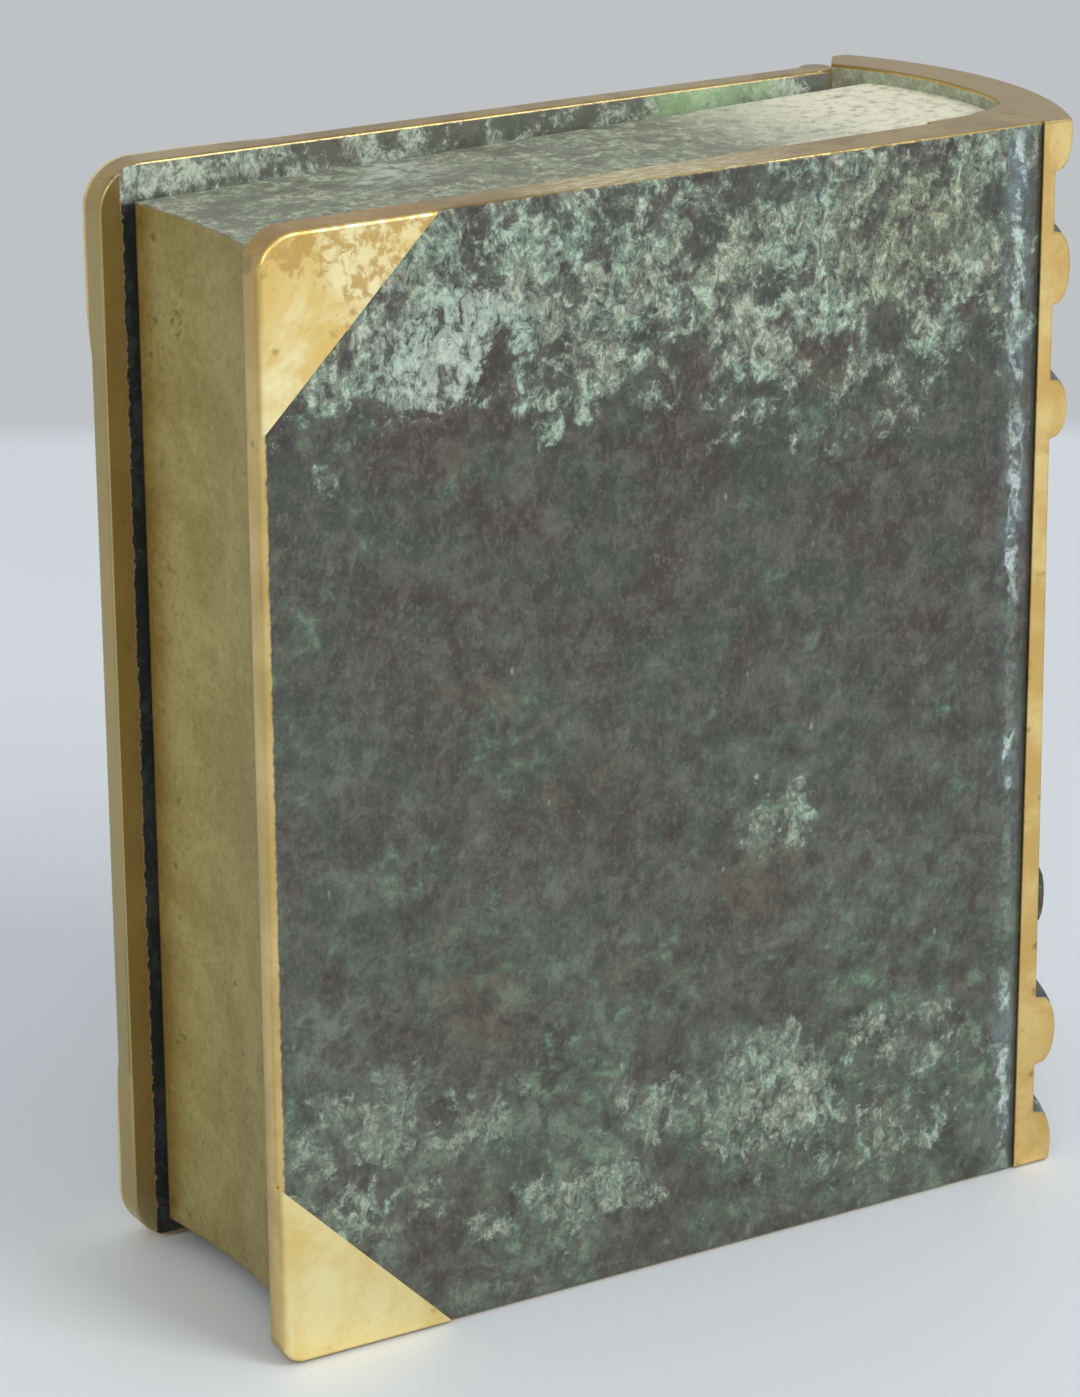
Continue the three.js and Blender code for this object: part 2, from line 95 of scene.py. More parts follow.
# Colours of the cast skin, from its dark hollows to its grain
SKIN_BROWN = linear(60, 49, 45)
SKIN_GREEN = linear(58, 63, 54)
SKIN_LIGHT = linear(96, 92, 82)
SKIN_DARK = linear(42, 36, 34)
GRAIN_LIGHT = linear(120, 116, 105)
GRAIN_DARK = linear(54, 48, 45)
RUST_BROWN = linear(104, 82, 54)
MOSS_DARK = linear(80, 106, 84)
MOSS_LIGHT = linear(132, 166, 134)
MOSS_HOLLOW = linear(44, 35, 33)
CREVICE = linear(46, 44, 42)

# Colours of the bloom
VEIL_GREY = linear(102, 108, 98)
MINT_GREY = linear(182, 190, 166)
MINT = linear(172, 200, 174)
MINT_OLIVE = linear(158, 160, 124)
BLOOM_SHADE = linear(80, 86, 78)
BLOOM_HOLLOW = linear(62, 62, 56)
CURL_WHITE = linear(208, 218, 202)
SPECK_GREY = linear(168, 172, 158)
TAIL_MOTTLE_DARK = linear(98, 104, 92)
TAIL_MOTTLE_LIGHT = linear(136, 152, 132)
FROST_WHITE = linear(204, 218, 208)

# Colours of the joint and its crust
JOINT_HAZE = linear(124, 140, 144)
JOINT_DARK = linear(38, 42, 42)
CHALK_GREEN = linear(190, 212, 192)
CHALK_WHITE = linear(216, 228, 230)

# Colours of the filed edges
RIM_BROWN = linear(168, 140, 94)
RIM_TAN = linear(192, 166, 112)
RIM_GRAIN = linear(154, 128, 84)
RIM_PAINTED_SHADE = linear(176, 156, 100)
RIM_INWARD = linear(164, 146, 108)
RIM_WORN = linear(224, 202, 148)
RIM_GLINT = linear(255, 244, 196)
MOUNT_SIDE = linear(206, 164, 100)
CROWN_BROWN = linear(178, 150, 102)

# Colours of the mounts and the pages
MOUNT_LIT = linear(255, 236, 164)
PIT_BROWN = linear(96, 84, 50)
PAGE_GREY = linear(204, 202, 172)
PAGE_PATCH = linear(196, 200, 186)
PAGE_PALE = linear(240, 236, 208)
PAGE_SHADE = linear(150, 130, 72)
GRIT_DARK = linear(112, 98, 52)
GRIT_LIGHT = linear(204, 190, 138)
SPINE_INSIDE_PAINTED_LIGHT = linear(190, 192, 160)

# Colours of the lid's inner face, and its painted shade beside the pages
INNER_WHITE = linear(226, 234, 216)
INNER_GREY = linear(158, 160, 146)
INNER_GREEN = linear(160, 194, 142)
GAP_PAINTED_SHADE = linear(13, 11, 8)

# Colours of the studio
FLOOR_GREY = linear(231, 235, 238)
BACKDROP_GREY = linear(190, 194, 197)
STUDIO_GREY = linear(199, 203, 206)

# Colours of the brasses: where each is rubbed, where it is dull, and its stains
EDGE_GOLD = (linear(226, 198, 132), linear(206, 178, 110), linear(164, 134, 78))
MOUNT_GOLD = (linear(255, 240, 184), linear(236, 202, 122), linear(202, 164, 94))
PAGE_OLIVE = (linear(182, 164, 104), linear(164, 145, 84), linear(132, 113, 62))
SPINE_GOLD = (linear(240, 212, 144), linear(218, 180, 108), linear(168, 130, 70))
HINGE_GOLD = (linear(206, 184, 130), linear(176, 150, 92), linear(118, 98, 58))


# Node helpers
def join(tree, socket, value):
    """Links an output to a socket, or sets a plain value on it."""
    if isinstance(value, bpy.types.NodeSocket):
        tree.links.new(value, socket)
    elif value is not None:
        socket.default_value = value


def put(tree, kind, settings=None, inputs=None):
    """A new node with its settings and what goes into it."""
    made = tree.nodes.new(kind)
    for name, value in (settings or {}).items():
        setattr(made, name, value)
    for name, value in (inputs or {}).items():
        join(tree, made.inputs[name], value)
    return made


def reckon(tree, operation, first, second=None, third=None):
    made = put(tree, "ShaderNodeMath", {"operation": operation}, {0: first, 1: second, 2: third})
    return made.outputs[0]


def product(tree, *values):
    total = values[0]
    for value in values[1:]:
        total = reckon(tree, "MULTIPLY", total, value)
    return total


def blend(tree, share, first, second):
    """The first colour where share is 0 and the second where it is 1."""
    made = put(tree, "ShaderNodeMix", {"data_type": "RGBA"}, {0: share, 6: first, 7: second})
    return made.outputs[2]


def soft_step(tree, value, low, high):
    """0 below low, 1 above high and smooth between them; low above high turns it round."""
    made = put(tree, "ShaderNodeMapRange", {"interpolation_type": "SMOOTHSTEP"},
               {"Value": value, "From Min": low, "From Max": high, "To Min": 0.0, "To Max": 1.0})
    return made.outputs[0]


def noise(tree, place, scale, detail=4.0, rough=0.55, twist=0.0):
    """A cloud from 0 to 1: its waves in a metre, its finer layers, their strength and how far it is stirred."""
    made = put(tree, "ShaderNodeTexNoise", {"noise_dimensions": "3D"},
               {"Vector": place, "Scale": scale, "Detail": detail, "Roughness": rough, "Distortion": twist})
    return made.outputs["Fac"]


def worms(tree, place, scale, twist, thin):
    """Thin curled lines: 1 on a line and 0 between them."""
    cloud = noise(tree, place, scale, 2, 0.5, twist)
    off = reckon(tree, "ABSOLUTE", reckon(tree, "SUBTRACT", cloud, 0.5))
    return soft_step(tree, off, thin, 0.0)


def turned(tree, place, angles=(0, 0, 0), scale=(1, 1, 1), offset=(0, 0, 0)):
    """The place stretched, turned by angles in degrees and moved."""
    made = put(tree, "ShaderNodeMapping", {"vector_type": "POINT"},
               {"Vector": place, "Location": offset, "Rotation": tuple(math.radians(a) for a in angles),
                "Scale": scale})
    return made.outputs[0]


def split(tree, place):
    """The x, y and z of a place."""
    made = put(tree, "ShaderNodeSeparateXYZ", None, {0: place})
    return made.outputs[0], made.outputs[1], made.outputs[2]


def spot(tree, place, centre, reach, softness=0.6):
    """1 at a place on the book and 0 beyond its reach, in millimetres along x, y and z."""
    scale = tuple(1 / (r * MM) for r in reach)
    offset = tuple(-c * MM * s for c, s in zip(centre, scale))
    moved = turned(tree, place, scale=scale, offset=offset)
    length = put(tree, "ShaderNodeVectorMath", {"operation": "LENGTH"}, {0: moved}).outputs["Value"]
    return soft_step(tree, length, 1.0, 1.0 - softness)


def strayed(tree, place, scale, reach):
    """The place moved about by a soft noise, by up to about half its reach in metres."""
    cloud = put(tree, "ShaderNodeTexNoise", {"noise_dimensions": "3D"},
                {"Vector": place, "Scale": scale, "Detail": 5.0, "Roughness": 0.6}).outputs["Color"]
    centred = put(tree, "ShaderNodeVectorMath", {"operation": "SUBTRACT"},
                  {0: cloud, 1: (0.5, 0.5, 0.5)}).outputs[0]
    return put(tree, "ShaderNodeVectorMath", {"operation": "MULTIPLY_ADD"},
               {0: centred, 1: (reach, reach, reach), 2: place}).outputs[0]


def strongest(tree, masks):
    """The highest of some masks."""
    total = masks[0]
    for mask in masks[1:]:
        total = reckon(tree, "MAXIMUM", total, mask)
    return total


def new_group(name, takes, gives):
    """An empty node group, with what goes into it and what comes out."""
    tree = bpy.data.node_groups.new(name, "ShaderNodeTree")
    kinds = {"vector": "NodeSocketVector", "value": "NodeSocketFloat", "colour": "NodeSocketColor"}
    for label, kind in takes:
        tree.interface.new_socket(name=label, in_out="INPUT", socket_type=kinds[kind])
    for label, kind in gives:
        tree.interface.new_socket(name=label, in_out="OUTPUT", socket_type=kinds[kind])
    inside = tree.nodes.new("NodeGroupInput")
    outside = tree.nodes.new("NodeGroupOutput")
    return tree, inside.outputs, outside.inputs


def use(tree, group, inputs):
    made = tree.nodes.new("ShaderNodeGroup")
    made.node_tree = group
    for name, value in inputs.items():
        join(tree, made.inputs[name], value)
    return made.outputs


# Shared effects
def build_verdigris():
    """Patina on cast brass: a dark brown and green skin under a lumpy pale bloom with fine curls and cracks."""
    tree, taken, given = new_group(
        "verdigris",
        [("Place", "vector"), ("Bloom", "value"), ("Green", "value"), ("Rust", "value"), ("Olive", "value")],
        [("Color", "colour"), ("Roughness", "value"), ("Height", "value")])
    place = taken["Place"]
    bloom = taken["Bloom"]

    # The skin: brown and grey-green in soft patches, with a fine grain all over
    mottle = noise(tree, place, 75, 9, 0.68, 0.5)
    skin = blend(tree, soft_step(tree, mottle, 0.44, 0.56), SKIN_BROWN, SKIN_GREEN)
    shade = noise(tree, turned(tree, place, offset=(0.31, 0.1, 0.7)), 210, 9, 0.76, 0.4)
    skin = blend(tree, product(tree, soft_step(tree, shade, 0.46, 0.62), 0.7), skin, SKIN_LIGHT)
    skin = blend(tree, product(tree, soft_step(tree, shade, 0.46, 0.34), 0.6), skin, SKIN_DARK)
    grain = noise(tree, turned(tree, place, scale=(1, 1, 0.6)), 1500, 6, 0.78, 0.5)
    skin = blend(tree, product(tree, soft_step(tree, grain, 0.50, 0.66), 0.48), skin, GRAIN_LIGHT)
    skin = blend(tree, product(tree, soft_step(tree, grain, 0.48, 0.34), 0.45), skin, GRAIN_DARK)
    rust_mask = product(tree, taken["Rust"], soft_step(tree, shade, 0.40, 0.62))
    skin = blend(tree, product(tree, rust_mask, 0.6), skin, RUST_BROWN)
    green_grain = noise(tree, turned(tree, place, offset=(0.7, 0.2, 0.4)), 300, 9, 0.72, 0.3)
    green_mask = product(tree, taken["Green"], soft_step(tree, green_grain, 0.44, 0.60))
    green = blend(tree, soft_step(tree, green_grain, 0.52, 0.66), MOSS_DARK, MOSS_LIGHT)
    skin = blend(tree, product(tree, green_mask, 0.8), skin, green)
    hollow = product(tree, taken["Green"], soft_step(tree, green_grain, 0.48, 0.38))
    skin = blend(tree, product(tree, hollow, 0.7), skin, MOSS_HOLLOW)

    # Clumps of bloom: the veil is the soft haze round them, the body is the dense part
    film = noise(tree, turned(tree, place, angles=(0, 20, 0), scale=(1, 1, 0.75), offset=(0.1, 0.6, 0.2)),
                 620, 9, 0.72, 0.6)
    clump = noise(tree, turned(tree, place, offset=(0.9, 0.5, 0.1)), 170, 10, 0.74, 0.35)
    level = reckon(tree, "MULTIPLY_ADD", bloom, 0.20, reckon(tree, "MULTIPLY_ADD", film, 0.22, clump))
    veil = soft_step(tree, level, 0.62, 0.80)
    body = product(tree, soft_step(tree, level, 0.665, 0.79), soft_step(tree, bloom, 0.05, 0.30))
    colour = blend(tree, product(tree, veil, 0.60), skin, VEIL_GREY)

    # The bloom is lumpy: dark hollows, a grey-green middle tone and mint or olive crests
    fresh = noise(tree, turned(tree, place, offset=(0.2, 0.8, 0.3)), 130, 6, 0.66)
    mint = blend(tree, soft_step(tree, fresh, 0.44, 0.54), MINT_GREY, MINT)
    mint = blend(tree, taken["Olive"], mint, MINT_OLIVE)
    middle = blend(tree, 0.6, mint, BLOOM_SHADE)
    crest = soft_step(tree, film, 0.50, 0.60)
    lumpy = blend(tree, soft_step(tree, film, 0.38, 0.50), BLOOM_HOLLOW, middle)
    lumpy = blend(tree, crest, lumpy, mint)
    colour = blend(tree, product(tree, body, 0.9), colour, lumpy)

    # Curled strokes that lean two ways, each the stronger in its own patches
    lean = soft_step(tree, noise(tree, place, 60, 2, 0.5), 0.42, 0.58)
    right = turned(tree, place, angles=(0, 35, 0), scale=(1.0, 1.0, 0.6))
    left = turned(tree, place, angles=(0, -50, 0), scale=(1.0, 1.0, 0.7), offset=(0.4, 0.0, 0.2))
    first = worms(tree, right, 640, 1.8, 0.07)
    second = worms(tree, left, 760, 2.0, 0.07)
    curls = blend(tree, lean, first, second)
    curls = put(tree, "ShaderNodeRGBToBW", None, {0: curls}).outputs[0]
    bright = product(tree, curls, reckon(tree, "MULTIPLY_ADD", crest, 0.6, 0.15))
    colour = blend(tree, product(tree, body, bright), colour, CURL_WHITE)

    # Dark crevices between the curls, and a few stray pale specks
    fine = noise(tree, turned(tree, place, scale=(1, 1, 0.8), offset=(0.6, 0.1, 0.4)), 950, 6, 0.74, 0.9)
    crack = worms(tree, turned(tree, place, angles=(0, 20, 0), scale=(1, 1, 0.8), offset=(0.5, 0.3, 0.8)),
                  420, 2.0, 0.045)
    pore = reckon(tree, "MAXIMUM", soft_step(tree, fine, 0.46, 0.34), product(tree, crack, 0.5))
    deep = product(tree, pore, reckon(tree, "MULTIPLY_ADD", veil, 0.42, 0.26))
    colour = blend(tree, deep, colour, CREVICE)
    cells = put(tree, "ShaderNodeTexVoronoi", {"feature": "F1"},
                {"Vector": turned(tree, place, angles=(0, 30, 0), scale=(1, 1, 0.5)), "Scale": 330.0})
    lot = put(tree, "ShaderNodeSeparateColor", None, {0: cells.outputs["Color"]}).outputs[0]
    stray = product(tree, soft_step(tree, cells.outputs["Distance"], 0.11, 0.04), soft_step(tree, lot, 0.86, 0.90))
    colour = blend(tree, product(tree, stray, 0.5), colour, SPECK_GREY)

    join(tree, given["Color"], colour)
    join(tree, given["Roughness"], reckon(tree, "MULTIPLY_ADD", veil, 0.22, 0.50))
    lumps = noise(tree, place, 420, 6, 0.62, 0.3)
    rough_curls = product(tree, body, reckon(tree, "MULTIPLY_ADD", film, 0.8, curls), 0.4)
    join(tree, given["Height"], reckon(tree, "ADD", rough_curls, reckon(tree, "MULTIPLY_ADD", fine, 0.5, lumps)))
    return tree


def build_brass_skin():
    """Old brass: pale where it is rubbed, deep where it is dull, and stained in blotches and specks."""
    tree, taken, given = new_group(
        "brass_skin",
        [("Place", "vector"), ("Pale", "colour"), ("Deep", "colour"), ("Stain", "colour"), ("Tarnish", "value"),
         ("Pits", "value")],
        [("Color", "colour"), ("Roughness", "value"), ("Height", "value")])
    place = taken["Place"]
    cloud = noise(tree, place, 85, 6, 0.6, 0.6)
    fine = noise(tree, place, 620, 7, 0.68, 0.6)
    colour = blend(tree, soft_step(tree, cloud, 0.38, 0.62), taken["Deep"], taken["Pale"])
    colour = blend(tree, product(tree, soft_step(tree, fine, 0.46, 0.66), 0.3), colour, taken["Deep"])
    blotch = reckon(tree, "ADD", product(tree, noise(tree, place, 260, 5, 0.6, 0.9), 0.5), product(tree, fine, 0.5))
    stained = soft_step(tree, reckon(tree, "MULTIPLY_ADD", taken["Tarnish"], 0.26, blotch), 0.62, 0.72)
    colour = blend(tree, product(tree, stained, 0.8), colour, taken["Stain"])
    bent = strayed(tree, place, 900, 1.2 * MM)
    cells = put(tree, "ShaderNodeTexVoronoi", {"feature": "F1"}, {"Vector": bent, "Scale": 430.0})
    lot = put(tree, "ShaderNodeSeparateColor", None, {0: cells.outputs["Color"]}).outputs[0]
    seldom = soft_step(tree, reckon(tree, "MULTIPLY_ADD", taken["Pits"], 0.14, lot), 0.97, 1.0)
    pit = product(tree, soft_step(tree, cells.outputs["Distance"], 0.32, 0.05), seldom)
    colour = blend(tree, product(tree, pit, 0.5), colour, PIT_BROWN)
    join(tree, given["Color"], colour)
    rough = reckon(tree, "MULTIPLY_ADD", stained, 0.14, reckon(tree, "MULTIPLY_ADD", fine, 0.14, 0.26))
    join(tree, given["Roughness"], rough)
    join(tree, given["Height"], reckon(tree, "SUBTRACT", product(tree, cloud, 0.7), product(tree, pit, 0.5)))
    return tree


VERDIGRIS = build_verdigris()
BRASS_SKIN = build_brass_skin()


class Finish:
    """A material under way: its node tree, the place on the book and the surface shader."""

    def __init__(self, name):
        self.material = bpy.data.materials.new(name)
        self.material.use_nodes = True
        self.tree = self.material.node_tree
        self.surface = self.tree.nodes["Principled BSDF"]
        self.place = put(self.tree, "ShaderNodeTexCoord").outputs["Object"]
        self.x, self.y, self.z = split(self.tree, self.place)
        facing = put(self.tree, "ShaderNodeTexCoord").outputs["Normal"]
        self.facing_x, _, self.facing_z = split(self.tree, facing)
        self.astray = None
        self.ragged = reckon(self.tree, "SUBTRACT", noise(self.tree, self.place, 900, 5, 0.65), 0.5)

    def beyond(self, value, edge, wander=0.0, soft=0.1):
        """1 where the value is past an edge in metres, with a ragged border of some millimetres."""
        moved = reckon(self.tree, "MULTIPLY_ADD", self.ragged, wander * MM, value) if wander else value
        return soft_step(self.tree, moved, edge - soft * MM, edge + soft * MM)

    def below(self, value, edge, wander=0.0, soft=0.1):
        """1 where the value is short of the edge."""
        moved = reckon(self.tree, "MULTIPLY_ADD", self.ragged, wander * MM, value) if wander else value
        return soft_step(self.tree, moved, edge + soft * MM, edge - soft * MM)

    def patch(self, centre, reach, softness=0.6):
        """A ragged patch on the book, by its middle and its reach in millimetres."""
        if not self.astray:
            self.astray = strayed(self.tree, self.place, 300, 4 * MM)
            self.astray = strayed(self.tree, self.astray, 75, 16 * MM)
        return spot(self.tree, self.astray, centre, reach, softness)

    def patina(self, bloom, green=0.0, rust=0.0, olive=0.0, place=None):
        made = use(self.tree, VERDIGRIS, {
            "Place": place or self.place, "Bloom": bloom, "Green": green, "Rust": rust, "Olive": olive})
        return dict(made.items())

    def brass(self, pale, deep, stain, tarnish=0.3, pits=0.2, place=None):
        made = use(self.tree, BRASS_SKIN, {
            "Place": place or self.place, "Pale": pale, "Deep": deep, "Stain": stain,
            "Tarnish": tarnish, "Pits": pits})
        return dict(made.items())

    def rim_brass(self, brass, share):
        """The brass with a dull brown skin where share is 1, as on the head edges."""
        dull = noise(self.tree, self.place, 130, 6, 0.65, 0.4)
        brown = blend(self.tree, soft_step(self.tree, dull, 0.40, 0.60), RIM_BROWN, RIM_TAN)
        fine = noise(self.tree, self.place, 1300, 5, 0.7)
        brown = blend(self.tree, product(self.tree, soft_step(self.tree, fine, 0.5, 0.7), 0.35), brown,
                      RIM_GRAIN)
        colour = blend(self.tree, product(self.tree, share, 0.9), brass["Color"], brown)
        return {"Color": colour, "Roughness": brass["Roughness"], "Height": brass["Height"]}

    def edge_brass(self):
        """The filed edges of covers and mounts: gold, with painted shade on the sides that face the fore-edge, and
        duller inside and at the head.
        """
        brass = self.brass(*EDGE_GOLD, 0.06, 0.25)
        # Painted shade: sides that face the fore-edge are darker and more olive
        outward = product(self.tree, soft_step(self.tree, self.facing_x, -0.35, -0.9),
                          self.beyond(self.y, LID_INNER_Y + 0.3 * MM))
        brass["Color"] = blend(self.tree, product(self.tree, outward, 0.95), brass["Color"], RIM_PAINTED_SHADE)
        inward = product(self.tree, self.below(self.y, LID_INNER_Y + 0.3 * MM), self.beyond(self.y, 0.0))
        brass["Color"] = blend(self.tree, product(self.tree, inward, 0.75), brass["Color"], RIM_INWARD)
        return self.rim_brass(brass, soft_step(self.tree, self.facing_z, 0.25, 0.85))

    def relief(self, height, bump, edge):
        """The surface's bumps, over edges that look rounded by some millimetres."""
        rounded = None
        if edge:
            rounded = put(self.tree, "ShaderNodeBevel", {"samples": 6}, {"Radius": edge * MM}).outputs[0]
        made = put(self.tree, "ShaderNodeBump", None,
                   {"Strength": bump, "Distance": 0.4 * MM, "Height": height, "Normal": rounded})
        join(self.tree, self.surface.inputs["Normal"], made.outputs[0])

    def bare(self, brass, bump=0.12, edge=0.0):
        """Bare brass all over."""
        self.surface.inputs["Metallic"].default_value = 1.0
        join(self.tree, self.surface.inputs["Base Color"], brass["Color"])
        join(self.tree, self.surface.inputs["Roughness"], brass["Roughness"])
        self.relief(brass["Height"], bump, edge)
        return self.material

    def partly(self, share, patina, brass, bump=0.25, edge=0.0):
        """Patina where share is 1 and bare brass where it is 0."""
        tree = self.tree
        bare = reckon(tree, "SUBTRACT", 1.0, share)

        def mixed(name):
            return reckon(tree, "ADD", product(tree, share, patina[name]), product(tree, bare, brass[name]))
        colour = blend(tree, share, brass["Color"], patina["Color"])
        join(tree, self.surface.inputs["Base Color"], colour)
        join(tree, self.surface.inputs["Metallic"], bare)
        join(tree, self.surface.inputs["Roughness"], mixed("Roughness"))
        self.relief(mixed("Height"), bump, edge)
        return self.material


def on_cover(x, z):
    """A place on the back cover's face, in millimetres from its fore-edge and its tail."""
    return (x + FORE_EDGE_X / MM, FIELD_Y / MM, z)


def make_cover_patina():
    """The back cover: bloom at the head and in the tail's patches, a dark field and a crusted joint."""
    finish = Finish("cover_patina")
    tree = finish.tree
    wander = noise(tree, finish.place, 42, 5, 0.6, 0.5)

    # Bloom: a band along the head, thick patches and thinner ones, all with gaps
    head_bloom = soft_step(tree, reckon(tree, "MULTIPLY_ADD", wander, 60 * MM, finish.z), 133 * MM, 152 * MM)
    leftward = soft_step(tree, finish.x, 0.0, -25 * MM)
    blooms = [
        finish.patch(on_cover(22, 123), (13, 20, 12)),
        finish.patch(on_cover(38, 129), (14, 20, 11)),
        finish.patch(on_cover(55, 127), (12, 20, 11)),
        finish.patch(on_cover(72, 128), (15, 20, 13)),
        finish.patch(on_cover(69, 117), (11, 20, 8)),
        finish.patch(on_cover(92, 114), (11, 20, 8)),
        finish.patch(on_cover(70, 19), (13, 20, 12), 0.4),
        finish.patch(on_cover(54, 23), (10, 20, 7)),
        finish.patch(on_cover(46, 11), (9, 20, 6)),
    ]
    faint = [
        finish.patch(on_cover(94, 130), (15, 20, 14)),
        finish.patch(on_cover(90, 14), (19, 20, 17)),
        finish.patch(on_cover(12, 24), (15, 20, 16)),
        finish.patch(on_cover(33, 9), (15, 20, 10)),
        finish.patch(on_cover(28, 27), (10, 20, 8)),
        finish.patch(on_cover(5, 112), (10, 20, 10)),
        product(tree, finish.patch(on_cover(71, 57), (7, 20, 8), 0.4), 0.9),
        finish.patch(on_cover(84, 110), (17, 20, 9)),
    ]
    bloom = strongest(tree, [
        product(tree, strongest(tree, blooms), reckon(tree, "MULTIPLY_ADD", leftward, 0.3, 1.0)),
        product(tree, strongest(tree, faint), 0.6),
        product(tree, head_bloom, 0.72),
    ])
    gaps = noise(tree, turned(tree, finish.place, offset=(0.8, 0.2, 0.5)), 110, 6, 0.66, 0.8)
    gaps = soft_step(tree, gaps, 0.42, 0.56)
    bloom = product(tree, bloom, soft_step(tree, wander, 0.30, 0.50), reckon(tree, "MULTIPLY_ADD", gaps, 0.5, 0.6))

    # Greens, soft ones towards the tail and a few clear ones, then rust and olive
    soft_greens = strongest(tree, [
        finish.patch(on_cover(79, 35), (9, 20, 8)),
        finish.patch(on_cover(90, 32), (5, 20, 5), 0.8),
        finish.patch(on_cover(17, 62), (9, 20, 8)),
        finish.patch(on_cover(14, 45), (11, 20, 10)),
        finish.patch(on_cover(9, 38), (8, 20, 9)),
        soft_step(tree, finish.z, 62 * MM, 30 * MM),
    ])
    apart = soft_step(tree, noise(tree, finish.place, 70, 7, 0.66, 0.3), 0.42, 0.56)
    greens = strongest(tree, [
        finish.patch(on_cover(71, 57), (7, 20, 7), 0.8),
        finish.patch(on_cover(97, 69), (5, 20, 5), 0.8),
        finish.patch(on_cover(88, 136), (6, 20, 5), 0.8),
        finish.patch(on_cover(105, 58), (3, 20, 5), 0.8),
        product(tree, soft_greens, apart, 0.85),
        product(tree, soft_step(tree, noise(tree, finish.place, 52, 5, 0.6), 0.50, 0.62), 0.5),
    ])
    rust = strongest(tree, [
        finish.patch(on_cover(42, 67), (6, 20, 5)),
        finish.patch(on_cover(28, 41), (9, 20, 9)),
        product(tree, finish.patch(on_cover(67, 49), (7, 20, 8)), 0.8),
        product(tree, soft_step(tree, noise(tree, finish.place, 48, 4, 0.6, 0.3), 0.57, 0.66), 0.4),
    ])
    olive = reckon(tree, "MAXIMUM", product(tree, finish.patch(on_cover(90, 130), (17, 20, 16), 0.8), 0.95),
                   product(tree, finish.patch(on_cover(64, 130), (13, 20, 12), 0.8), 0.45))
    patina = finish.patina(bloom, greens, rust, olive)

    # A bluish white crust that has gathered in broken dabs along the joint
    middle = reckon(tree, "MULTIPLY_ADD", finish.z, -CRUST_LEAN, CREASE_X - 2.1 * MM)
    off = reckon(tree, "ABSOLUTE", reckon(tree, "SUBTRACT", finish.x, middle))
    dabs = noise(tree, turned(tree, finish.place, scale=(1.6, 1, 1)), 330, 6, 0.7, 0.5)
    width = product(tree, dabs, 3.9 * MM)
    crust = soft_step(tree, reckon(tree, "SUBTRACT", width, off), 0.8 * MM, 1.6 * MM)
    breaks = noise(tree, turned(tree, finish.place, offset=(0.3, 0.3, 0.3)), 210, 7, 0.72, 0.4)
    crust = product(tree, crust, soft_step(tree, breaks, 0.44, 0.53))
    where = strongest(tree, [
        product(tree, finish.patch(on_cover(105, 124), (9, 20, 22), 0.4), 0.9),
        product(tree, finish.patch(on_cover(105, 92), (9, 20, 16), 0.5), 0.8),
        product(tree, finish.patch(on_cover(106, 14), (9, 20, 16), 0.5), 0.8),
        product(tree, finish.patch(on_cover(106, 58), (9, 20, 5), 0.5), 0.8),
        0.14,
    ])
    crust = product(tree, crust, where)

    # Paler mottling towards the tail and the fore-edge and frost near the head mount, then the joint's haze, groove
    # and crust
    pale_tail = soft_step(tree, reckon(tree, "MULTIPLY_ADD", finish.x, 0.30, finish.z), 125 * MM, -10 * MM)
    drift = noise(tree, turned(tree, finish.place, offset=(0.1, 0.9, 0.2)), 150, 12, 0.80, 0.3)
    pale = blend(tree, soft_step(tree, drift, 0.50, 0.64), TAIL_MOTTLE_DARK, TAIL_MOTTLE_LIGHT)
    skin = blend(tree, product(tree, pale_tail, soft_step(tree, drift, 0.36, 0.60), 0.52), patina["Color"], pale)
    tone = put(tree, "ShaderNodeRGBToBW", None, {0: skin}).outputs[0]
    frost = product(tree, finish.patch(on_cover(25, 121), (14, 20, 13), 0.7), soft_step(tree, tone, 0.06, 0.26))
    skin = blend(tree, product(tree, frost, 0.34), skin, FROST_WHITE)
    haze = product(tree, soft_step(tree, off, 3.2 * MM, 0.4 * MM), soft_step(tree, dabs, 0.3, 0.7), where)
    skin = blend(tree, product(tree, haze, 0.75), skin, JOINT_HAZE)
    in_joint = finish.beyond(finish.x, CREASE_X - 0.8 * MM, 0.5, 0.3)
    skin = blend(tree, product(tree, in_joint, 0.6), skin, JOINT_DARK)
    speckle = soft_step(tree, noise(tree, finish.place, 1300, 5, 0.7), 0.36, 0.56)
    chalk = blend(tree, soft_step(tree, dabs, 0.46, 0.58), CHALK_GREEN, CHALK_WHITE)
    skin = blend(tree, product(tree, crust, reckon(tree, "MULTIPLY_ADD", speckle, 0.6, 0.32)), skin, chalk)

    # The field ends raggedly at the filed edges
    share = product(
        tree,
        finish.below(finish.y, FIELD_Y + 0.35 * MM, 0.5, 0.08),
        finish.beyond(finish.x, FORE_EDGE_X + 0.75 * MM, 0.7, 0.15),
        finish.below(finish.z, HEIGHT - 0.2 * MM, 0.35, 0.1),
    )
    in_crease = product(tree, finish.beyond(finish.x, CREASE_X - 4.6 * MM),
                        finish.below(finish.y, FIELD_Y + 1.2 * MM))
    in_crease = product(tree, in_crease, finish.below(finish.z, HEIGHT - 0.3 * MM))
    share = reckon(tree, "MAXIMUM", share, in_crease)

    # The rim, worn paler on the head's edge, with painted glints along its filing marks
    rim = finish.edge_brass()
    filed = noise(tree, turned(tree, finish.place, scale=(0.25, 1, 1)), 1600, 4, 0.7)
    worn = finish.patch((-7, -21.5, 140), (24, 12, 8), 0.7)
    rim["Color"] = blend(tree, product(tree, worn, 0.6), rim["Color"], RIM_WORN)
